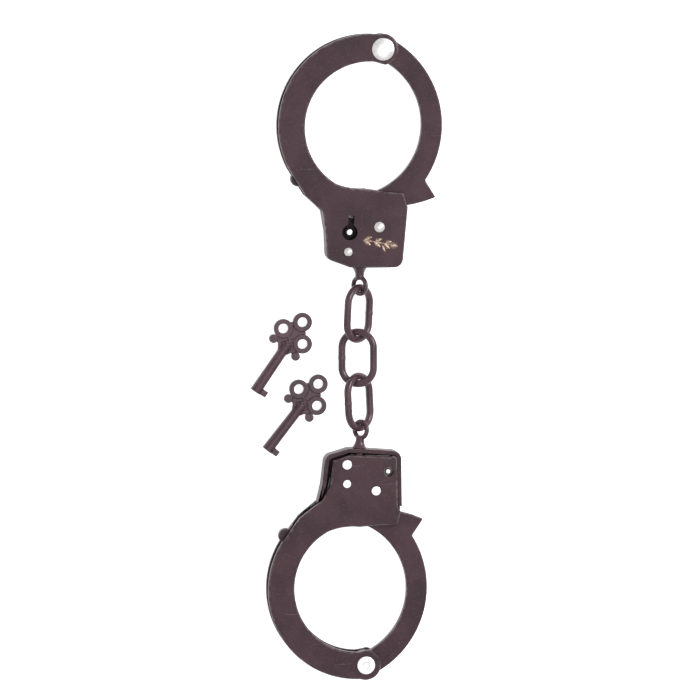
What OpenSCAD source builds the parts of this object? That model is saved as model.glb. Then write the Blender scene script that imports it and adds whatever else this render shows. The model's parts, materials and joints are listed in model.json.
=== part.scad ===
// Pair of chain-link handcuffs with two keys, lying on a flat surface.
// Each cuff is drawn once, in its own frame, and placed twice. In that frame the cheek rivet
// is the origin, +Z looks out of the front cheek, and the lock case hangs towards -Y.

/* [Strands] */
// Thickness of each cheek plate
plate_t = 2.4; // [2:0.1:3]
// Clear gap between the two cheek plates
plate_gap = 4.2; // [4:0.1:5]
// Thickness of the swinging jaw
jaw_t = 3.6; // [3:0.1:3.8]
// Outer radius of the cheeks' curved strand
strand_r = 36; // [35:0.5:37]
// Radius of the wrist opening in the cheeks
opening_r = 25.7; // [25:0.1:26.2]
// Outer radius of the jaw's bow
jaw_outer_r = 38.4; // [38:0.1:39]
// Inner radius of the jaw's bow
jaw_inner_r = 27.9; // [27:0.1:28.5]

/* [Ratchet] */
// Radius of the tooth tips about the cheek rivet
tooth_r = 63.3; // [63:0.1:63.5]
// Depth of one ratchet tooth
tooth_depth = 1.2; // [1:0.1:1.3]
// Angle from one tooth to the next
tooth_pitch = 2.5; // [2.5]
// Number of teeth on the jaw
tooth_count = 13; // [11:1:13]

/* [Rivets and post] */
// Radius of the cheek rivet's shank
cheek_rivet_r = 2.6; // [2.4:0.1:2.8]
// Radius of the pawl rivet's shank
pawl_rivet_r = 1.5; // [1.4:0.1:1.6]
// Radius of the case rivet's shank
case_rivet_r = 1.3; // [1.2:0.1:1.5]
// Radius of the key post
post_r = 1.35; // [1.2:0.05:1.4]

/* [Chain] */
// Diameter of the link wire
wire_d = 2.9; // [2.7:0.1:2.9]
// Length of a link over its ends
link_len = 23.4; // [23:0.1:23.6]
// Width of a link over its sides
link_w = 15.6; // [15:0.1:16]
// Tilt of the first and third links about the chain
outer_tilt = 40; // [38:1:42]
// Tilt of the middle link about the chain
middle_tilt = -20; // [-22:1:-18]

/* [Keys] */
// Length of the key's hollow shaft
shaft_len = 23; // [22:0.5:24]
// Diameter of the key's shaft at its bit
shaft_d = 4.4; // [4.2:0.1:4.6]
// Bore of the key's shaft
key_bore_d = 2.9; // [2.9:0.05:3]

/* [Hidden] */
$fn = 96;

// finishes
BLACK = [0.13, 0.11, 0.12];
STEEL = [0.80, 0.80, 0.80];
SPRING_STEEL = [0.45, 0.45, 0.50];

// levels through one cuff, measured from the middle of the jaw
inner_z = plate_gap / 2;
outer_z = inner_z + plate_t;
front_head_h = 1.2;
back_head_h = 0.8;
run_gap = 0.05; // radial clearance of every running fit

// how the two cuffs lie: cuff A face up, cuff B turned over, a little askew and one click tighter
case_bottom_y = -85.5;
stem_x = -8.6;
pivot_a = [14.1, 121.3, outer_z + back_head_h];
pivot_b = [7.35, -121.6, outer_z + front_head_h];
askew_b = 4.4;
clicks_b = 1;

// swept circle of the jaw inside the case
sweep_r = tooth_r + 1.1;
root_r = tooth_r - tooth_depth;

// round ends of the cheeks' strand and of the jaw, about the cheek rivet
lug_r = 6.1;
jaw_eye_r = 5.4;

// key post
post_shank_r = 1.1;
post_top_z = 3.2;

// lock work
pawl_t = 3;
pawl_end_x = -21;  // free end, clear of the case's wall when it drops
pawl_teeth = [-19, -16.5, -14]; // angles at which the pawl's teeth sit in the jaw's valleys
mesh_gap = 0.2;
leaf_z = 1.2;      // the spring and the lock bar reach this far each side of the middle
plunger_r = 1;
plunger_end_z = -2.6;
plunger_cone_z = -1.2;

// swivel
stem_r = 1.6;
head_r = 2;
pocket_depth = 5.6;
neck_r = 2.9;      // at the case
neck_waist_r = 1.7;
neck_flare_r = 4.87; // hollow curve between the two
neck_len = 4.8;
eye_wire_r = 0.92;
eye_r = 3.2;       // centreline radius of the eye
eye_y = -92.8;
eye_tilt = outer_tilt - 90; // square to the link that hangs on it

// fixed points of the case
pawl_pin = [-1.4, -69.5];
post_at = [-13.1, -71.5];
case_rivet_at = [-13.7, -79.1];
plunger_at = [3.2, -77.2];
plunger_hole_r = 1.9;
wall_t = 1.7;   // side wall of the front cheek
insets = [3, 2.5, 1.85]; // how far the back cheek stops inside the wall's outer face
wall_z = -2.9;  // edge of the side wall, between the back cheek's two faces
wall_top_y = -63.2;

module on_cuff(side) {
    if (side == "a") translate(pivot_a) children();
    else translate(pivot_b) rotate([180, 0, 0]) rotate([0, 0, askew_b]) children();
}

module slab(z0, z1) {
    translate([0, 0, z0]) linear_extrude(z1 - z0) children();
}

function polar(r, a) = [r * sin(a), -r * cos(a)]; // angle from -Y towards +X

// ---- cheeks ----

// wrist opening of the cheeks: the lens common to two circles
module opening_2d() {
    intersection() {
        translate([-5, -30.5]) circle(r = opening_r);
        translate([-7.9, -29.6]) circle(r = opening_r - 0.6);
    }
}

// curved strand from the cheek rivet round to the case
module strand_2d() {
    intersection() {
        translate([-5.1, -30]) circle(r = strand_r);
        polygon([[0, 12], [-50, 12], [-50, -47.3], [-30, -47.3], [-12, -40], [0, -8]]);
    }
    circle(r = lug_r);
}

// lock case seen from the front, its left, bottom and right sides pulled inwards by d
module case_2d(d = [0, 0, 0]) {
    polygon([[-36.6, -47.3], [-30.6, -56.9], [-23.8 + d[0] / 2, -63.3 - d[0] / 3],
        [-22.7 + d[0], -70], [-22.3 + d[0], -79.5], [-20.3 + d[0] * 0.4, -82.6 + d[1] * 0.9],
        [-13.2, -85.2 + d[1]], [-9.5, case_bottom_y + d[1]], [4.6, case_bottom_y + d[1]],
        [8.1 - d[2], -82], [9.8 - d[2], -63.3], [9.9 - d[2] / 3, -61.8], [8.7, -57.9],
        [7.2, -56.1], [1, -55.8], [-2.5, -55.3], [-6, -54.75], [-10, -48], [-20, -42],
        [-32, -42]]);
    translate([-18.9, -79.5]) circle(r = 3.4 - d[0]);
    translate([4.6, -82]) circle(r = 3.5 - d[2]);
    translate([7.2, -57.6]) circle(r = 1.5);
}

module cheek_2d(d) {
    difference() {
        union() {
            strand_2d();
            case_2d(d);
        }
        opening_2d();
        circle(r = cheek_rivet_r);
        translate(pawl_pin) circle(r = pawl_rivet_r);
        translate(case_rivet_at) circle(r = case_rivet_r);
    }
}

// keyhole: a round hole with a slot for the key's bit
module keyhole_2d() {
    translate(post_at) {
        circle(r = 3.1);
        rotate(-7) translate([-1.2, 0]) square([2.4, 6.7]);
    }
}

module front_cheek(side) {
    color(BLACK) on_cuff(side) difference() {
        union() {
            difference() {
                slab(inner_z, outer_z) cheek_2d([0, 0, 0]);
                slab(inner_z - 1, outer_z + 1) keyhole_2d();
            }
            slab(wall_z, inner_z) difference() {
                case_2d();
                case_2d([wall_t, wall_t, wall_t]);
                circle(r = sweep_r);
                translate([-60, wall_top_y]) square([120, 40]);
            }
        }
        translate([stem_x, case_bottom_y - 2, 0]) rotate([-90, 0, 0])
            cylinder(r = stem_r + run_gap, h = 8);
    }
}

module back_cheek(side) {
    color(BLACK) on_cuff(side) slab(-outer_z, -inner_z) difference() {
        cheek_2d(insets);
        translate(post_at) circle(r = post_shank_r);
        translate(plunger_at) circle(r = plunger_hole_r);
    }
}

// ---- jaw ----

first_tooth = -29;  // angle of the tooth nearest the jaw's tip
nose_angle = -33.2; // angle of the jaw's rounded tip

// saw teeth: steep on the side that the pawl holds, sloping on the other
function tooth(i) = let (a = first_tooth + i * tooth_pitch)
    [polar(root_r, a - tooth_pitch + 0.3), polar(tooth_r, a), polar(root_r, a + 0.28)];

jaw_edge = [for (i = [0 : tooth_count - 1]) each tooth(i)];

module jaw_2d() {
    difference() {
        union() {
            circle(r = jaw_eye_r);
            // bow
            difference() {
                intersection() {
                    translate([-14.5, -29.8]) circle(r = jaw_outer_r);
                    polygon([[0, 12], [40, 12], [40, -51.3], [17.3, -51.3], [0, -56], [0, 0]]);
                }
                translate([-12.2, -29.5]) circle(r = jaw_inner_r);
            }
            // toothed bar, its tip and the spur at its other end
            difference() {
                polygon(concat([polar(56.5, nose_angle - 1.3)], jaw_edge,
                    [polar(root_r, 4), polar(root_r, 8), polar(root_r, 12), polar(root_r, 16),
                    [20.5, -58.5], [21.4, -58.2], [17.5, -52], [17.3, -51.3], [8, -46], [-10, -52]]));
                translate([-12.2, -29.5]) circle(r = jaw_inner_r);
            }
            jaw_nose();
        }
        circle(r = cheek_rivet_r + run_gap);
    }
}

// rounded nose of the jaw
module jaw_nose() {
    translate(polar(60.5, nose_angle)) circle(r = 2.9);
}

module jaw(side) {
    color(BLACK) on_cuff(side) rotate(side == "b" ? -clicks_b * tooth_pitch : 0)
        slab(-jaw_t / 2, jaw_t / 2) jaw_2d();
}

// ---- rivets and post ----

// low dome standing on z = 0
module dome(r, h) {
    big = (r * r + h * h) / (2 * h);
    intersection() {
        translate([0, 0, h - big]) sphere(r = big);
        cylinder(r = r, h = h);
    }
}

// shank through both plates, domed on the front and upset flat on the back
module rivet(shank_r, front_r, back_r) {
    translate([0, 0, -outer_z - 0.01]) cylinder(r = shank_r, h = 2 * outer_z + 0.02);
    translate([0, 0, outer_z]) dome(front_r, front_head_h);
    translate([0, 0, -outer_z - back_head_h]) {
        cylinder(r1 = back_r - 0.4, r2 = back_r, h = 0.4);
        translate([0, 0, 0.4]) cylinder(r = back_r, h = back_head_h - 0.4);
    }
}

module cheek_rivet(side) {
    color(STEEL) on_cuff(side) rivet(shank_r = cheek_rivet_r, front_r = 4.4, back_r = 3.6);
}

module pawl_rivet(side) {
    color(STEEL) on_cuff(side) translate(pawl_pin)
        rivet(shank_r = pawl_rivet_r, front_r = 2.1, back_r = 1.9);
}

module case_rivet(side) {
    color(STEEL) on_cuff(side) translate(case_rivet_at)
        rivet(shank_r = case_rivet_r, front_r = 1.75, back_r = 1.95);
}

// stands on a shoulder on the back cheek's inner face; its thinner end is riveted outside
module key_post(side) {
    color(STEEL) on_cuff(side) translate(post_at) {
        translate([0, 0, -inner_z]) cylinder(r = post_r, h = inner_z + post_top_z);
        translate([0, 0, post_top_z]) dome(post_r, 0.4);
        translate([0, 0, -outer_z]) cylinder(r = post_shank_r, h = plate_t);
        translate([0, 0, -outer_z - 0.4]) cylinder(r = 1.6, h = 0.4);
    }
}

// ---- lock work inside the case ----

module pawl(side) {
    color(SPRING_STEEL) on_cuff(side) slab(-pawl_t / 2, pawl_t / 2) difference() {
        union() {
            translate(pawl_pin) circle(r = 3);
            // bar under the teeth
            polygon(concat([[pawl_end_x, -60], [pawl_end_x, -63.9]],
                [for (a = [-18 : 2 : -2]) polar(67.3, a)],
                [for (a = [-2 : -2 : -18]) polar(tooth_r + 0.3, a)]));
            // three teeth
            for (a = pawl_teeth)
                polygon([polar(tooth_r + 0.4, a + tooth_pitch + 0.4),
                    polar(root_r + mesh_gap, a + 0.4), polar(tooth_r + 0.6, a + 0.15)]);
            // hook that the key's bit pushes down
            polygon([[pawl_end_x, -62], [pawl_end_x, -64.7], [-19.8, -73], [-17.9, -76.2],
                [-16.6, -74.8], [-18.2, -71], [-19.6, -62]]);
            // heel that the double-lock bar props
            polygon([[-7.8, -66], [-7.8, -72.6], [-5.8, -72.6], [-1.4, -71], [-1.4, -66]]);
            // tail under the spring
            polygon([[-1.4, -71], [5, -69.6], [5, -68], [-1.4, -67]]);
        }
        translate(pawl_pin) circle(r = pawl_rivet_r + run_gap);
    }
}

// bent leaf: one leg lies on the case's side wall, the other presses on the pawl's tail
module pawl_spring(side) {
    color(SPRING_STEEL) on_cuff(side) slab(-leaf_z, leaf_z)
        polygon([[6.4, -75.5], [7.1, -67.3], [3.6, -67.1], [3.3, -67.6], [2.9, -67.4],
            [3.3, -66.7], [7.5, -66.9], [6.8, -75.5]]);
}

// keeps the plates apart round the swivel's head, and guides the plunger
module spacer(side) {
    pocket_r = head_r + 0.1;
    color(SPRING_STEEL) on_cuff(side) difference() {
        union() {
            slab(-inner_z, inner_z) polygon([[-18.2, -79.2], [-15.6, -77.2], [-6.8, -77.2],
                [-6.8, -78.6], [5.4, -78.6], [6, -80.4], [5, -83.6], [-12, -83], [-17.2, -80.6]]);
            slab(-inner_z, -1.3) polygon([[-6.8, -79], [5.8, -79], [5.8, -74.8], [0.2, -74.8],
                [0.2, -77.2], [-6.8, -77.2]]);
        }
        translate([0, 0, -inner_z - 1]) linear_extrude(6) {
            translate(case_rivet_at) circle(r = case_rivet_r);
            translate(plunger_at) circle(r = plunger_r + run_gap);
        }
        // pocket for the swivel's head
        translate([stem_x, case_bottom_y, 0]) rotate([-90, 0, 0])
            cylinder(r = pocket_r, h = pocket_depth);
        translate([stem_x - pocket_r, case_bottom_y, -inner_z - 1])
            cube([2 * pocket_r, pocket_depth, inner_z + 1]);
    }
}

module lock_plunger(side) {
    color(STEEL) on_cuff(side) translate(plunger_at) {
        translate([0, 0, plunger_end_z]) cylinder(r = plunger_r, h = plunger_cone_z - plunger_end_z);
        translate([0, 0, plunger_cone_z]) cylinder(r1 = plunger_r, r2 = 0, h = plunger_r);
    }
}

// bar that the plunger's point wedges sideways until its finger props the pawl's heel
module lock_bar(side) {
    wedge_x = plunger_at[0] - plunger_r - 0.08;
    color(SPRING_STEEL) on_cuff(side) intersection() {
        slab(-leaf_z, leaf_z) polygon([[-4.9, -78.4], [-4.9, -72.75], [-3, -72.75], [-3, -76],
            [wedge_x + 2.4, -76], [wedge_x + 2.4, -78.4]]);
        rotate([90, 0, 0]) translate([0, 0, 70]) linear_extrude(12)
            polygon([[-10, -leaf_z], [wedge_x, -leaf_z], [wedge_x + 1.3, 1.3 - leaf_z],
                [wedge_x + 1.3, leaf_z], [-10, leaf_z]]);
    }
}

// ---- swivel ----

module swivel(side) {
    color(BLACK) on_cuff(side) translate([stem_x, 0, 0]) {
        // head, stem and flared neck
        translate([0, case_bottom_y + wall_t + 0.15, 0]) rotate([-90, 0, 0])
            cylinder(r = head_r, h = 2.6);
        translate([0, case_bottom_y - 0.2, 0]) rotate([-90, 0, 0])
            cylinder(r = stem_r, h = wall_t + 0.6);
        translate([0, case_bottom_y - 0.15, 0]) rotate([90, 0, 0]) rotate_extrude()
            difference() {
                square([neck_r, neck_len]);
                translate([neck_waist_r + neck_flare_r, 3.2]) circle(r = neck_flare_r);
            }
        // eye
        translate([0, eye_y, 0]) rotate([0, side == "a" ? eye_tilt : -eye_tilt, 0])
            rotate_extrude() translate([eye_r, 0]) circle(r = eye_wire_r);
    }
}

// ---- chain ----

link_step = link_len - 2 * wire_d - 0.12; // from one link's centre to the next
eye_a = pivot_a + [stem_x, eye_y, 0];
eye_b = pivot_b + [stem_x * cos(askew_b) - eye_y * sin(askew_b),
    -(stem_x * sin(askew_b) + eye_y * cos(askew_b)), 0];
chain_z = 5.6;
first_link_y = eye_a[1] - (eye_r - eye_wire_r) + wire_d + 0.1 - link_len / 2;

// oval link in the XY plane, its long side along Y
module oval_link() {
    bend_r = (link_w - wire_d) / 2;
    half = (link_len - link_w) / 2;
    for (e = [-1, 1]) translate([0, e * half, 0]) {
        intersection() {
            rotate_extrude() translate([bend_r, 0]) circle(d = wire_d);
            translate([-link_w, e > 0 ? 0 : -link_w, -wire_d]) cube([2 * link_w, link_w, 2 * wire_d]);
        }
    }
    for (e = [-1, 1]) translate([e * bend_r, -half, 0]) rotate([-90, 0, 0])
        cylinder(d = wire_d, h = 2 * half);
}

// the chain lies in a slight bow: each link's step sideways from the straight, and its lean
bow = [-0.6, -1, -0.6];
lean = [-2.6, 0, 2.6];

module chain_link(i, tilt) {
    y = first_link_y - i * link_step;
    t = (eye_a[1] - y) / (eye_a[1] - eye_b[1]);
    color(BLACK) translate([eye_a[0] + t * (eye_b[0] - eye_a[0]) + bow[i], y, chain_z])
        rotate(lean[i]) rotate([0, tilt, 0]) oval_link();
}

// ---- keys ----

ring_outer_r = 3.75;
ring_hole_r = 1.95;
nub_r = 1.7;
key_thick = 2.2; // of the rings and nubs
web_thick = 1.4;
shaft_taper = 0.25; // how much smaller the shaft's radius is at the bow
rings = [[26.8, 4.9], [26, -4.9], [33.1, 0]];
nubs = [[21.3, 5.9], [20.4, -5.4]];

module key_rings() {
    for (p = rings) translate(p) children();
}

// cast bow: three rings with a thinner web between them, a cross on it, and a nub on each side
module key_bow() {
    linear_extrude(key_thick, center = true) difference() {
        union() {
            key_rings() circle(r = ring_outer_r);
            for (p = nubs) translate(p) circle(r = nub_r);
            for (a = [-45, 45]) translate([24, 0]) rotate(a) square([6.4, 0.8], center = true);
        }
        key_rings() circle(r = ring_hole_r);
    }
    linear_extrude(web_thick, center = true) difference() {
        polygon([[18.6, -1.9], [20.4, -3], [20.8, -6], [26, -5], [30.3, -3.6], [33.1, 0],
            [30.7, 3.7], [26.8, 5], [21.6, 6.6], [20.9, 3.3], [18.6, 1.9]]);
        key_rings() circle(r = ring_hole_r);
    }
}

// hollow shaft, bit and bow; the shaft runs along +X
module key(at, turn) {
    color(BLACK) translate([at[0], at[1], shaft_d / 2]) rotate(turn) {
        difference() {
            union() {
                rotate([0, 90, 0])
                    cylinder(r1 = shaft_d / 2, r2 = shaft_d / 2 - shaft_taper, h = shaft_len);
                translate([0.2, -4.5, -0.9]) cube([2.5, 3.4, 1.8]);
            }
            translate([-1, 0, 0]) rotate([0, 90, 0]) cylinder(d = key_bore_d, h = 10);
        }
        key_bow();
    }
}

for (s = ["a", "b"]) {
    front_cheek(s);
    back_cheek(s);
    jaw(s);
    cheek_rivet(s);
    pawl_rivet(s);
    case_rivet(s);
    key_post(s);
    pawl(s);
    pawl_spring(s);
    spacer(s);
    lock_plunger(s);
    lock_bar(s);
    swivel(s);
}
chain_link(0, outer_tilt);  // link_1
chain_link(1, middle_tilt);  // link_2
chain_link(2, outer_tilt);  // link_3
key([-35.6, -13.1], 55.4);  // key_1
key([-31, -36.4], 51.9);  // key_2
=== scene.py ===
import json
import math

import bmesh
import bpy
from mathutils import Matrix, Vector, noise


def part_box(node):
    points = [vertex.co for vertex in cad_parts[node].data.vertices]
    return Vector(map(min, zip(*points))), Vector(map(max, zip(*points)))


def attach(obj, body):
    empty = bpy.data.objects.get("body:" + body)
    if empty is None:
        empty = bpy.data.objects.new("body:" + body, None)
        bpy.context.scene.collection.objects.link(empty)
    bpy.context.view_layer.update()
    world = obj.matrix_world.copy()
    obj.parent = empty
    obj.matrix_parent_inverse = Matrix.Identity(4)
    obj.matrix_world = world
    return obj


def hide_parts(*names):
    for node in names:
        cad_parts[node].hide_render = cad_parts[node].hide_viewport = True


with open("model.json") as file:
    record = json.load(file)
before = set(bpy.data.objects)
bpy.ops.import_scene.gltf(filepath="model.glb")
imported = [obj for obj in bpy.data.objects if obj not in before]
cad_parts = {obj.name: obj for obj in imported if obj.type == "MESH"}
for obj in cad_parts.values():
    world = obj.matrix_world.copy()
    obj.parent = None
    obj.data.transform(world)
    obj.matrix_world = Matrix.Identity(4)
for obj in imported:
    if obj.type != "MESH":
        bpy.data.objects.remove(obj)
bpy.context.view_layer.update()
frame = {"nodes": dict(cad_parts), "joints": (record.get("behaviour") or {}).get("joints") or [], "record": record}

MM = 0.001
SIDES = ("a", "b")
JOINTS = {joint["name"]: joint for joint in frame["joints"]}
BODY_OF = {node: body for body, nodes in frame["record"]["behaviour"]["bodies"].items() for node in nodes}
SLOT_OF = {row["node"]: row["material_slot"] for row in frame["record"]["subparts"]}

# levels through a cuff, from the middle of the jaw
INNER_Z = 2.1 * MM
OUTER_Z = 4.5 * MM
WALL_Z = -2.9 * MM

# fixed points of a cuff, about the cheek rivet
PAWL_PIN = Vector((-1.4, -69.5, 0)) * MM
CASE_PIN = Vector((-13.7, -79.1, 0)) * MM
KEY_POST = Vector((-13.1, -71.5, 0)) * MM
PLUNGER = Vector((3.2, -77.2, 0)) * MM
NOSE = Vector((-33.13, -50.62, 0)) * MM

# the toothed stretch of the jaw, in degrees round the cheek rivet, and how far each jaw is turned at rest
FIRST_SLOPE = -31.5
LAST_TOOTH = 1.3
JAW_TURN = {"a": 0, "b": math.radians(-2.5)}

# chain
WIRE_R = 1.45 * MM
LINK_LENGTH = 23.4 * MM
LINK_WIDTH = 15.6 * MM


def cuff_frame(side):
    """From a cuff's own frame to the model's: cheek rivet at the origin, +Z out of the front."""
    out = Vector(JOINTS[f"jaw_{side}_swing"]["axis"])
    up = Vector(JOINTS[f"swivel_{side}_spin"]["axis"])
    matrix = Matrix((up.cross(out), up, out)).transposed().to_4x4()
    matrix.translation = Vector(JOINTS[f"jaw_{side}_swing"]["pos_m"])
    return matrix


CUFFS = {side: cuff_frame(side) for side in SIDES}


# ---- materials ----


class Finish:
    """A Principled material with a few helpers for its nodes. Lengths in the patterns are in metres."""

    def __init__(self, name):
        self.material = bpy.data.materials.new(name)
        self.material.use_nodes = True
        self.tree = self.material.node_tree
        self.shader = self.tree.nodes["Principled BSDF"]
        self.place = self.tree.nodes.new("ShaderNodeTexCoord").outputs["Object"]

    def node(self, kind, inputs=(), **settings):
        made = self.tree.nodes.new(kind)
        for key, value in settings.items():
            setattr(made, key, value)
        for key, value in dict(inputs).items():
            if isinstance(value, bpy.types.NodeSocket):
                self.tree.links.new(value, made.inputs[key])
            else:
                made.inputs[key].default_value = value
        return made

    def grain(self, size, detail=3, place=None, roughness=0.55):
        """Noise from 0 to 1 whose lumps are about size across."""
        inputs = {"Vector": place or self.place, "Scale": 1 / size, "Detail": detail,
                  "Roughness": roughness}
        return self.node("ShaderNodeTexNoise", inputs).outputs["Fac"]

    def streaks(self, width, length, turn):
        """Noise drawn out along one direction in the XY plane."""
        spun = self.node("ShaderNodeMapping", {"Vector": self.place, "Rotation": (0, 0, turn),
                                               "Scale": (width / length, 1, 1)}).outputs["Vector"]
        return self.grain(width, 2, spun, 0.4)

    def band(self, value, low, high, to_low=0.0, to_high=1.0):
        """value's stretch from low to high, spread smoothly over to_low to to_high."""
        inputs = {"Value": value, "From Min": low, "From Max": high, "To Min": to_low, "To Max": to_high}
        return self.node("ShaderNodeMapRange", inputs, interpolation_type="SMOOTHSTEP").outputs["Result"]

    def math(self, operation, a, b):
        return self.node("ShaderNodeMath", {0: a, 1: b}, operation=operation).outputs[0]

    def mix(self, share, a, b):
        made = self.node("ShaderNodeMix", {"Factor": share}, data_type="RGBA")
        for socket, value in ((made.inputs[6], a), (made.inputs[7], b)):
            if isinstance(value, bpy.types.NodeSocket):
                self.tree.links.new(value, socket)
            else:
                socket.default_value = (*value, 1)
        return made.outputs[2]

    def attribute(self, name):
        return self.node("ShaderNodeAttribute", attribute_name=name).outputs["Fac"]

    def bump(self, height, depth, under=None):
        inputs = {"Height": height, "Strength": 1.0, "Distance": depth}
        if under is not None:
            inputs["Normal"] = under
        return self.node("ShaderNodeBump", inputs).outputs["Normal"]

    def wire(self, **sockets):
        for key, value in sockets.items():
            socket = self.shader.inputs[key.replace("_", " ")]
            if isinstance(value, bpy.types.NodeSocket):
                self.tree.links.new(value, socket)
            else:
                socket.default_value = value
        return self.material


def black_finish(name, shade, rough_range, specular, wear_and_sheen):
    """Satin black oxide: mottled, faintly scratched, and rubbed thin along the edges. The lighter rubbed edges and
    scratches are real wear, and at the higher level used on the cast pieces partly a painted highlight.
    """
    f = Finish(name)
    cloud = f.band(f.grain(14 * MM, 4), 0.35, 0.65)
    speck = f.grain(0.9 * MM, 3)
    dull = Vector((0.031, 0.0135, 0.0200)) * shade
    warm = Vector((0.050, 0.0217, 0.0300)) * shade
    pale = Vector((0.072, 0.043, 0.052)) * shade
    colour = f.mix(cloud, dull, warm)
    colour = f.mix(f.band(speck, 0.52, 0.85), colour, pale)
    scratch = f.band(f.streaks(0.22 * MM, 14 * MM, 0.9), 0.66, 0.72)
    scratch = f.math("MAXIMUM", scratch, f.band(f.streaks(0.25 * MM, 18 * MM, -0.5), 0.67, 0.73))
    scratch = f.math("MULTIPLY", scratch, f.band(f.grain(9 * MM, 2), 0.5, 0.62))
    rubbed = f.math("MULTIPLY", f.attribute("rim"), f.band(f.grain(2.2 * MM, 4), 0.36, 0.62))
    # lighter rubbed edges and scratches: real wear, and at the cast pieces' higher level partly a painted
    # highlight
    worn_and_sheen = f.math("MULTIPLY", f.math("MAXIMUM", rubbed, f.math("MULTIPLY", scratch, 0.5)), wear_and_sheen)
    colour = f.mix(worn_and_sheen, colour, (0.22, 0.195, 0.195))
    rough = f.band(f.grain(5 * MM, 4), 0.3, 0.7, *rough_range)
    rough = f.math("SUBTRACT", rough, f.math("MULTIPLY", worn_and_sheen, 0.12))
    peel = f.bump(f.grain(0.55 * MM, 2), 0.014 * MM)
    normal = f.bump(scratch, -0.006 * MM, peel)
    return f.wire(Base_Color=colour, Roughness=rough, Normal=normal,
                  Metallic=f.math("MULTIPLY", worn_and_sheen, 0.8), Specular_IOR_Level=specular)


def bright_steel():
    """Bright plated rivet heads: concentric turning marks, small dents and a warm grey bloom."""
    f = Finish("bright_steel")
    colour = f.mix(f.band(f.grain(1.6 * MM, 4), 0.4, 0.7), (0.88, 0.862, 0.865), (0.76, 0.735, 0.742))
    rings = f.node("ShaderNodeTexWave", {"Vector": f.place, "Scale": 1 / (1.1 * MM), "Distortion": 1.2,
                                         "Detail": 2, "Detail Scale": 2},
                   wave_type="RINGS", rings_direction="Z").outputs["Fac"]
    rough = f.band(f.grain(0.8 * MM, 3), 0.3, 0.7, 0.20, 0.34)
    dents = f.bump(f.grain(0.7 * MM, 3), 0.02 * MM)
    normal = f.bump(rings, 0.0035 * MM, dents)
    return f.wire(Base_Color=colour, Roughness=rough, Normal=normal, Metallic=1.0)


def inner_steel():
    """Oil-dark hardened steel of the lock work, ground one way."""
    f = Finish("inner_steel")
    ground = f.streaks(0.12 * MM, 6 * MM, 0.2)
    colour = f.mix(f.band(f.grain(3 * MM, 4), 0.35, 0.7), (0.15, 0.145, 0.14), (0.07, 0.066, 0.062))
    colour = f.mix(f.math("MULTIPLY", f.attribute("rim"), 0.6), colour, (0.34, 0.335, 0.33))
    rough = f.band(ground, 0.3, 0.7, 0.26, 0.42)
    return f.wire(Base_Color=colour, Roughness=rough, Normal=f.bump(ground, 0.006 * MM), Metallic=1.0)


def gilt_mark():
    """Rubbed gilt ink, thin in places so that the black shows through."""
    f = Finish("gilt_mark")
    thin = f.band(f.grain(0.8 * MM, 5), 0.42, 0.66)
    colour = f.mix(thin, (0.50, 0.37, 0.285), (0.17, 0.115, 0.095))
    rough = f.band(f.grain(0.6 * MM, 3), 0.3, 0.7, 0.30, 0.5)
    return f.wire(Base_Color=colour, Roughness=rough, Metallic=0.7, Normal=f.bump(thin, -0.01 * MM))


def floor_paint():
    """Matt white light table with the faintest mottling."""
    f = Finish("floor_paint")
    colour = f.mix(f.grain(90 * MM, 2), (0.90, 0.90, 0.90), (0.915, 0.915, 0.915))
    return f.wire(Base_Color=colour, Roughness=0.9, Specular_IOR_Level=0.2,
                  Emission_Color=(1, 1, 1, 1), Emission_Strength=0.75)


MATERIALS = {
    "black_finish": black_finish("black_finish", 1.04, (0.32, 0.44), 0.27, 0.4),
    # the cast pieces take twice the wear level, so their lighter rubbed edges and scratches are partly a painted
    # highlight
    "black_cast": black_finish("black_cast", 1.3, (0.20, 0.32), 0.5, 0.8),
    "bright_steel": bright_steel(),
    "inner_steel": inner_steel(),
    "gilt_mark": gilt_mark(),
}


# ---- mesh tools ----


def set_rim(mesh, values):
    """Stores how much each vertex's finish is rubbed, from 0 to 1."""
    rim = mesh.attributes.new("rim", "FLOAT", "POINT")
    rim.data.foreach_set("value", values)


def finish_piece(name, mesh, matrix, body, slot, replaced=(), look=None):
    """Makes the object, smooths its faces, gives it its finish and hands it to its body.

    look is the finish, where it isn't the one named after the slot.
    """
    piece = bpy.data.objects.new(name, mesh)
    bpy.context.scene.collection.objects.link(piece)
    piece.matrix_world = matrix
    mesh.shade_smooth()
    mesh.materials.clear()
    mesh.materials.append(MATERIALS[look or slot])
    if "rim" not in mesh.attributes:
        set_rim(mesh, [0.0] * len(mesh.vertices))
    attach(piece, body)
    if replaced:
        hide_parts(*replaced)
    return piece


def evaluated(piece):
    """A copy of piece's mesh with its modifiers applied. The piece itself is removed."""
    bpy.context.view_layer.update()
    depsgraph = bpy.context.evaluated_depsgraph_get()
    mesh = bpy.data.meshes.new_from_object(piece.evaluated_get(depsgraph))
    bpy.data.objects.remove(piece)
    return mesh


def node_copy(node):
    """The CAD node's surface as a closed mesh of flat faces, with no split corners."""
    mesh = frame["nodes"][node].data
    bm = bmesh.new()
    bm.from_mesh(mesh)
    bmesh.ops.remove_doubles(bm, verts=bm.verts, dist=0.06 * MM)
    return bm


def temporary(bm, name):
    mesh = bpy.data.meshes.new(name)
    bm.to_mesh(mesh)
    bm.free()
    piece = bpy.data.objects.new(name, mesh)
    bpy.context.scene.collection.objects.link(piece)
    return piece


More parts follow.
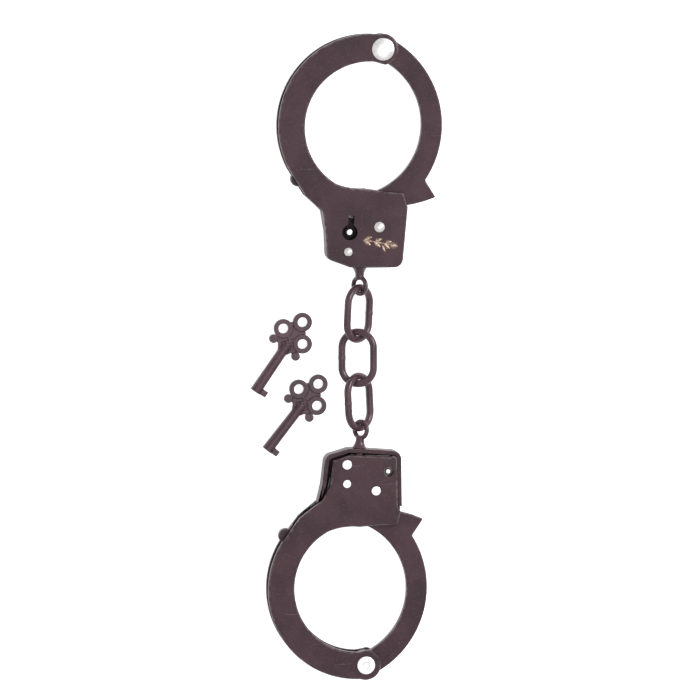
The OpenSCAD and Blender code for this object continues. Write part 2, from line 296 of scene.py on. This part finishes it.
def eased(node, side, width_at, segments=4):
    """The node with its outer edges rounded over by width_at(middle of the edge in the cuff's frame)."""
    to_cuff = CUFFS[side].inverted()
    widest = 1.0 * MM
    bm = node_copy(node)
    bmesh.ops.dissolve_limit(bm, angle_limit=math.radians(0.5), verts=bm.verts, edges=bm.edges)
    weight = bm.edges.layers.float.new("bevel_weight_edge")
    for edge in bm.edges:
        if len(edge.link_faces) == 2 and edge.is_convex and edge.calc_face_angle() > math.radians(28):
            middle = to_cuff @ ((edge.verts[0].co + edge.verts[1].co) / 2)
            edge[weight] = width_at(middle) / widest
    piece = temporary(bm, node + "_fine")
    piece.data.materials.append(None)
    piece.data.materials.append(None)
    bevel = piece.modifiers.new("ease", "BEVEL")
    bevel.limit_method = "WEIGHT"
    bevel.offset_type = "OFFSET"
    bevel.width = widest
    bevel.segments = segments
    bevel.use_clamp_overlap = False
    bevel.material = 1
    mesh = evaluated(piece)
    on_flat = set()
    for face in mesh.polygons:
        if face.material_index == 0:
            on_flat.update(face.vertices)
        face.material_index = 0
    set_rim(mesh, [0.0 if i in on_flat else 1.0 for i in range(len(mesh.vertices))])
    piece = finish_piece(node + "_fine", mesh, Matrix.Identity(4), BODY_OF[node], SLOT_OF[node], [node])
    piece.modifiers.new("normals", "WEIGHTED_NORMAL").weight = 80
    return piece


def cast(node, voxel, rounds):
    """The node as one soft-edged casting: remeshed finely, then smoothed so that joins fill in."""
    piece = temporary(node_copy(node), node + "_fine")
    remesh = piece.modifiers.new("skin", "REMESH")
    remesh.mode = "VOXEL"
    remesh.voxel_size = voxel
    smooth = piece.modifiers.new("soften", "SMOOTH")
    smooth.factor = 0.5
    smooth.iterations = rounds
    mesh = evaluated(piece)
    here = Matrix.Identity(4)
    return finish_piece(node + "_fine", mesh, here, BODY_OF[node], SLOT_OF[node], [node], "black_cast")


def rounded(corners, steps=5):
    """The open outline through (r, z, radius) corners, each rounded to its radius by a circular arc."""
    points = [Vector(corner[:2]) for corner in corners]
    path = [points[0]]
    for before, here, after, corner in zip(points, points[1:], points[2:], corners[1:]):
        radius = corner[2]
        if radius == 0:
            path.append(here)
            continue
        back = (before - here).normalized()
        on = (after - here).normalized()
        half = back.angle(on) / 2
        reach = radius / math.tan(half)
        centre = here + (back + on).normalized() * radius / math.sin(half)
        start = here + back * reach - centre
        end = here + on * reach - centre
        turn = start.angle_signed(end)
        for i in range(steps + 1):
            path.append(centre + Matrix.Rotation(-turn * i / steps, 2) @ start)
    path.append(points[-1])
    return path


def lathe(outline, sides=72):
    """Turns an outline of (r, z), which starts and ends on the axis, about Z."""
    bm = bmesh.new()
    turns = [2 * math.pi * i / sides for i in range(sides)]
    rings = []
    for r, z in outline[1:-1]:
        rings.append([bm.verts.new((r * math.cos(t), r * math.sin(t), z)) for t in turns])
    first = bm.verts.new((0, 0, outline[0][1]))
    last = bm.verts.new((0, 0, outline[-1][1]))
    for i in range(sides):
        j = (i + 1) % sides
        bm.faces.new((first, rings[0][j], rings[0][i]))
        bm.faces.new((last, rings[-1][i], rings[-1][j]))
        for low, high in zip(rings, rings[1:]):
            bm.faces.new((low[i], low[j], high[j], high[i]))
    bmesh.ops.recalc_face_normals(bm, faces=bm.faces)
    return bm


def turned(node, side, at, outline):
    """A lathe-turned piece that stands in the cuff at the point at."""
    mesh = bpy.data.meshes.new(node + "_fine")
    bm = lathe([(r * MM, z * MM) for r, z in outline])
    bm.to_mesh(mesh)
    bm.free()
    place = CUFFS[side] @ Matrix.Translation(at)
    return finish_piece(node + "_fine", mesh, place, BODY_OF[node], SLOT_OF[node], [node])


# ---- plates and jaw ----


def near(point, centre, radius):
    return (Vector(point.xy) - Vector(centre.xy)).length < radius


def cheek_width(side_wall):
    """How far each edge of a cheek is rounded: wide outside, none at the keyhole or under a rivet head."""
    slot = KEY_POST + Vector((0.5, 5, 0)) * MM
    sharp = ((Vector((0, 0)), 3 * MM), (PAWL_PIN, 1.8 * MM), (CASE_PIN, 1.6 * MM),
             (KEY_POST, 3.3 * MM), (slot, 2.6 * MM))

    def width(point):
        if any(near(point, centre, radius) for centre, radius in sharp):
            return 0.0
        if near(point, PLUNGER, 2.1 * MM):
            return 0.2 * MM
        if abs(point.z) > OUTER_Z - 0.1 * MM:
            return 0.75 * MM
        if side_wall and point.z < WALL_Z + 0.1 * MM:
            return 0.4 * MM
        return 0.2 * MM

    return width


def jaw_width(side):
    """The jaw's edges: slight on the saw teeth, well rounded everywhere else."""
    unturn = Matrix.Rotation(-JAW_TURN[side], 3, "Z")

    def width(point):
        point = unturn @ point
        if near(point, Vector((0, 0)), 3 * MM):
            return 0.0
        swing = math.degrees(math.atan2(point.x, -point.y))
        toothed = point.length > 61 * MM and FIRST_SLOPE < swing < LAST_TOOTH
        if toothed and not near(point, NOSE, 2.95 * MM):
            return 0.14 * MM
        return 0.55 * MM

    return width


def lock_width(point):
    return 0.14 * MM


# ---- rivets, post and plunger ----


def rivet(node, side, at, shank, front_r, back_r):
    """Domed and lipped at the front, upset flat with a punch mark at the back."""
    front, back = 1.2, 0.8
    top = OUTER_Z / MM
    lip = 0.3
    bulge = front - lip
    sphere_r = (front_r ** 2 + bulge ** 2) / (2 * bulge)
    steps = 10
    half = math.asin(front_r / sphere_r)
    dome = [(sphere_r * math.sin(half * i / steps),
             top + front - sphere_r * (1 - math.cos(half * i / steps)))
            for i in range(steps)]
    rim = rounded([(*dome[-1], 0), (front_r, top + lip, 0.12), (front_r, top, 0)])
    foot = rounded([(back_r, -top, 0), (back_r, -top - back, 0.3), (0.42 * back_r, -top - back, 0.15),
                    (0.3 * back_r, -top - back + 0.22, 0.1), (0, -top - back + 0.22, 0)])
    outline = dome + [tuple(p) for p in rim[1:]] + [(shank, top), (shank, -top)] + [tuple(p) for p in foot]
    return turned(node, side, at, outline)


def key_post(side):
    outline = rounded([(0, 3.6, 0), (1.35, 3.6, 0.55), (1.35, -2.1, 0), (1.1, -2.1, 0), (1.1, -4.5, 0),
                       (1.6, -4.5, 0), (1.6, -4.9, 0.15), (0, -4.9, 0)])
    return turned(f"key_post_{side}", side, KEY_POST, outline)


def plunger(side):
    outline = rounded([(0, -0.2, 0), (1, -1.2, 0.2), (1, -2.6, 0.25), (0, -2.6, 0)])
    return turned(f"lock_plunger_{side}", side, PLUNGER, outline)


# ---- chain ----


def link_mesh(weld_side):
    """Oval of round wire in the XY plane, its long side along Y, with a butt weld half-way up one side."""
    bend = (LINK_WIDTH - 2 * WIRE_R) / 2
    half = (LINK_LENGTH - LINK_WIDTH) / 2
    arc_steps = 28
    side_steps = 14
    stations = []
    for end in (1, -1):
        for i in range(arc_steps):
            a = math.pi * i / arc_steps + (0 if end > 0 else math.pi)
            stations.append((bend * math.cos(a), end * half + bend * math.sin(a), a))
        for i in range(side_steps):
            facing = math.pi if end > 0 else 0
            stations.append((-end * bend, end * (half - 2 * half * i / side_steps), facing))
    around = 28
    bm = bmesh.new()
    rim = []
    rings = []
    for x, y, a in stations:
        middle = Vector((x, y, 0))
        outward = Vector((math.cos(a), math.sin(a), 0))
        weld = math.exp(-(y / (0.55 * MM)) ** 2) if x * weld_side > 0 else 0.0
        ring = []
        for k in range(around):
            t = 2 * math.pi * k / around
            seed = Vector((x, y, 0.004 * k)) * 900
            swell = 0.09 * weld * (1 + 0.6 * noise.noise(seed)) + 0.006 * noise.noise(seed * 0.4)
            r = WIRE_R * (1 + swell) if weld > 0.02 else WIRE_R * (1 - 0.004 * (1 + math.sin(3 * t)))
            ring.append(bm.verts.new(middle + outward * r * math.cos(t) + Vector((0, 0, r * math.sin(t)))))
            inside = max(0.0, -math.cos(t)) * max(0.0, (abs(y) - half) / bend)
            rim.append(min(1.0, 1.2 * inside ** 2 + 0.25 * weld))
        rings.append(ring)
    for now, on in zip(rings, rings[1:] + rings[:1]):
        for k in range(around):
            m = (k + 1) % around
            bm.faces.new((now[k], on[k], on[m], now[m]))
    bmesh.ops.recalc_face_normals(bm, faces=bm.faces)
    mesh = bpy.data.meshes.new("link")
    bm.to_mesh(mesh)
    bm.free()
    set_rim(mesh, rim)
    return mesh


def link(index, lean_deg, tilt_deg, weld_side):
    """A link at its CAD box's middle, leaning and turned about the chain as the CAD link is."""
    node = f"link_{index}"
    low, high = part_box(node)
    lean = Matrix.Rotation(math.radians(lean_deg), 4, "Z")
    place = Matrix.Translation((low + high) / 2) @ lean @ Matrix.Rotation(math.radians(tilt_deg), 4, "Y")
    mesh = link_mesh(weld_side)
    return finish_piece(node + "_fine", mesh, place, BODY_OF[node], SLOT_OF[node], [node], "black_cast")


# ---- mark on the front cheek: a plain sprig ----


def leaf(bm, base, tip, width, height):
    """A lens-shaped leaf from base to tip, slightly domed, standing on z = 0."""
    along = tip - base
    across = Vector((-along.y, along.x, 0)).normalized()
    steps = 12
    left, right, ridge = [], [], []
    for i in range(steps + 1):
        t = i / steps
        spread = width / 2 * math.sin(math.pi * t) ** 0.8
        middle = base + along * t
        left.append(bm.verts.new(middle + across * spread))
        right.append(bm.verts.new(middle - across * spread))
        ridge.append(bm.verts.new(middle + Vector((0, 0, height))))
    under = [bm.verts.new(base + along * (i / steps) - Vector((0, 0, height))) for i in range(steps + 1)]
    for row_a, row_b in ((left, ridge), (ridge, right), (right, under), (under, left)):
        for i in range(steps):
            bm.faces.new((row_a[i], row_a[i + 1], row_b[i + 1], row_b[i]))


def mark(side):
    """The gilt sprig, printed on the case below the pawl rivet."""
    bm = bmesh.new()
    lift = 0.07 * MM
    stem = [Vector(p) * MM for p in ((-7.6, -74.6, 0), (-3.6, -75.2, 0), (0.4, -76.0, 0), (4.0, -76.9, 0))]
    for start, end in zip(stem, stem[1:]):
        leaf(bm, start - (end - start) * 0.15, end, 0.9 * MM, lift)
        for turn in (0.5, -0.5):
            out = Matrix.Rotation(turn, 3, "Z") @ (end - start) * 0.85
            leaf(bm, start, start + out, 2.0 * MM, lift)
    leaf(bm, Vector((2.2, -76.4, 0)) * MM, Vector((5.9, -77.2, 0)) * MM, 2.6 * MM, 1.6 * lift)
    leaf(bm, Vector((-0.6, -76.2, 0)) * MM, Vector((0.9, -79.4, 0)) * MM, 1.4 * MM, lift)
    bmesh.ops.remove_doubles(bm, verts=bm.verts, dist=0.001 * MM)
    bmesh.ops.recalc_face_normals(bm, faces=bm.faces)
    mesh = bpy.data.meshes.new(f"mark_{side}")
    bm.to_mesh(mesh)
    bm.free()
    place = CUFFS[side] @ Matrix.Translation((0, 0, OUTER_Z))
    return finish_piece(f"mark_{side}", mesh, place, f"case_{side}", "gilt_mark")


# ---- the object ----


def build_cuff(side):
    eased(f"front_cheek_{side}", side, cheek_width(True))
    eased(f"back_cheek_{side}", side, cheek_width(False))
    eased(f"jaw_{side}", side, jaw_width(side))
    for name in ("pawl", "pawl_spring", "spacer", "lock_bar"):
        eased(f"{name}_{side}", side, lock_width, 2)
    rivet(f"cheek_rivet_{side}", side, Vector((0, 0, 0)), 2.6, 4.4, 3.6)
    rivet(f"pawl_rivet_{side}", side, PAWL_PIN, 1.5, 2.1, 1.9)
    rivet(f"case_rivet_{side}", side, CASE_PIN, 1.3, 1.75, 1.95)
    key_post(side)
    plunger(side)
    mark(side)
    cast(f"swivel_{side}", 0.11 * MM, 7)


for side in SIDES:
    build_cuff(side)
for index, lean, tilt, weld_side in ((1, -2.6, 40, 1), (2, 0, -20, -1), (3, 2.6, 40, -1)):
    link(index, lean, tilt, weld_side)
for index in (1, 2):
    cast(f"key_{index}", 0.13 * MM, 6)


# ---- stage ----


def floor():
    mesh = bpy.data.meshes.new("floor")
    reach = 3.0
    corners = [(-reach, -reach, 0), (reach, -reach, 0), (reach, reach, 0), (-reach, reach, 0)]
    mesh.from_pydata(corners, [], [(0, 1, 2, 3)])
    mesh.materials.append(floor_paint())
    board = bpy.data.objects.new("floor", mesh)
    bpy.context.scene.collection.objects.link(board)


def area_light(name, place, size, watts):
    data = bpy.data.lights.new(name, "AREA")
    data.shape = "RECTANGLE"
    data.size, data.size_y = size
    data.energy = watts
    lamp = bpy.data.objects.new(name, data)
    bpy.context.scene.collection.objects.link(lamp)
    lamp.location = place
    lamp.rotation_euler = (-Vector(place)).to_track_quat("-Z", "Y").to_euler()


def studio():
    world = bpy.data.worlds.new("studio")
    bpy.context.scene.world = world
    world.use_nodes = True
    world.node_tree.nodes["Background"].inputs["Color"].default_value = (1.0, 0.99, 0.985, 1)
    world.node_tree.nodes["Background"].inputs["Strength"].default_value = 0.74
    area_light("overhead", (0.25, -0.15, 1.8), (1.4, 1.4), 5.6)
    area_light("key", (0.75, 0.45, 0.95), (0.5, 0.5), 8.0)
    bpy.context.scene.view_settings.view_transform = "Standard"


def camera():
    """Looks down at the set from its left and a little from above, from far off."""
    data = bpy.data.cameras.new("camera")
    data.sensor_width = 36
    data.lens = 226.4
    data.clip_end = 20
    eye = bpy.data.objects.new("camera", data)
    bpy.context.scene.collection.objects.link(eye)
    place = Vector((-0.24383, 0.17366, 1.71091))
    ahead = (Vector((0.00243, 0.00262, 0)) - place).normalized()
    right = ahead.cross(Vector((0, 1, 0))).normalized()
    turn = Matrix((right, right.cross(ahead), -ahead)).transposed().to_4x4()
    eye.matrix_world = Matrix.Translation(place) @ turn
    bpy.context.scene.camera = eye


floor()
studio()
camera()

bpy.context.view_layer.update()
